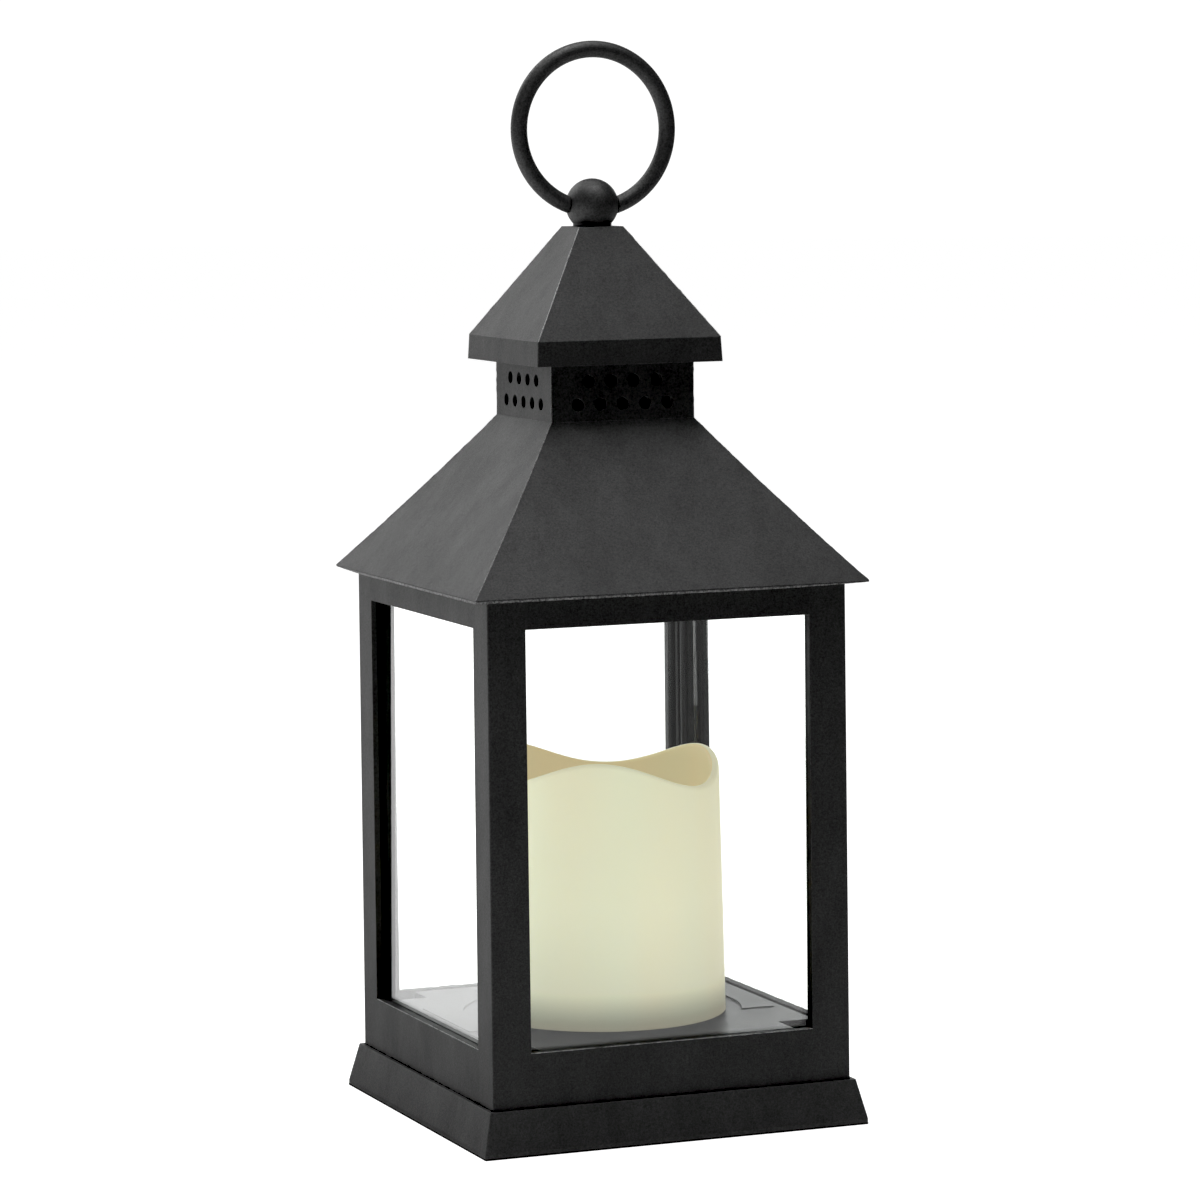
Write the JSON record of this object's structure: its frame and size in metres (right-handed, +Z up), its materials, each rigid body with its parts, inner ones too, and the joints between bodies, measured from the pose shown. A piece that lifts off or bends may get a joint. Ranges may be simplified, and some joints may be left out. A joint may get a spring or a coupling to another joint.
{
  "type": "solar lantern",
  "caption": "Square black lantern with hipped roof, vented neck, carry ring, glass panes and a wavy LED candle; a solar module sits on the rear roof slope.",
  "frame": {"origin": "centre of the plinth's underside, on the surface that the lantern stands on", "axes": "+Z up through the knob and ring; -Y is the front; +Y is the side with the solar module; +X is to the right seen from the front"},
  "size_m": [0.1074, 0.1074, 0.2796],
  "materials": {
    "black_textured": "fine-grained moulded black plastic",
    "black_satin": "satin black plastic",
    "pane_glass": "clear float glass with polished faces",
    "ivory_wax": "ivory wax-look candle shell, slightly translucent",
    "white_plastic": "natural white moulded plastic",
    "led_resin": "tinted clear epoxy",
    "solar_silicon": "dark blue polycrystalline silicon",
    "clear_resin": "clear poured resin",
    "board_green": "green solder mask",
    "black_parts": "moulded black components",
    "screw_steel": "zinc-plated steel",
    "nickel": "nickel-plated spring steel",
    "tin_can": "tinned steel",
    "wire_black": "black PVC insulation",
    "cell_sleeve": "printed-free green shrink sleeve"
  },
  "bodies": {
    "lantern": {"plinth": "black_textured", "body_frame": "black_textured", "floor_tray": "black_satin", "pane_front": "pane_glass", "pane_right": "pane_glass", "pane_back": "pane_glass", "pane_left": "pane_glass", "main_roof": "black_textured", "top_cap": "black_textured", "ball_knob": "black_satin", "knob_screw": "screw_steel", "knob_washer": "screw_steel", "roof_screws": "screw_steel", "base_screws": "screw_steel", "candle_shell": "ivory_wax", "candle_deck": "white_plastic", "candle_screws": "screw_steel", "led_post": "white_plastic", "led_lamp": "led_resin", "led_legs": "tin_can", "led_wires": "wire_black", "solar_backing": "board_green", "solar_cells": "solar_silicon", "solar_resin": "clear_resin", "solar_cable": "wire_black", "battery_box": "black_satin", "battery_cell": "cell_sleeve", "battery_spring": "nickel", "battery_contact": "nickel", "battery_wires": "wire_black", "circuit_board": "board_green", "board_parts": "black_parts", "board_screws": "screw_steel", "switch_housing": "tin_can"},
    "ring": {"carry_ring": "black_satin"},
    "door": {"battery_door": "black_textured"},
    "switch": {"switch_knob": "black_satin"}
  },
  "joints": [
    {"name": "ring_swing", "type": "hinge", "parent": "lantern", "child": "ring", "pos_m": [0, 0, 0.23722], "axis": [1, 0, 0], "range_deg": [-137, 137]},
    {"name": "battery_door_hinge", "type": "hinge", "parent": "lantern", "child": "door", "pos_m": [-0.007, 0.01585, 0.0031], "axis": [1, 0, 0], "range_deg": [0, 100]},
    {"name": "switch_slide", "type": "slide", "parent": "lantern", "child": "switch", "axis": [1, 0, 0], "range_m": [0, 0.002]}
  ]
}
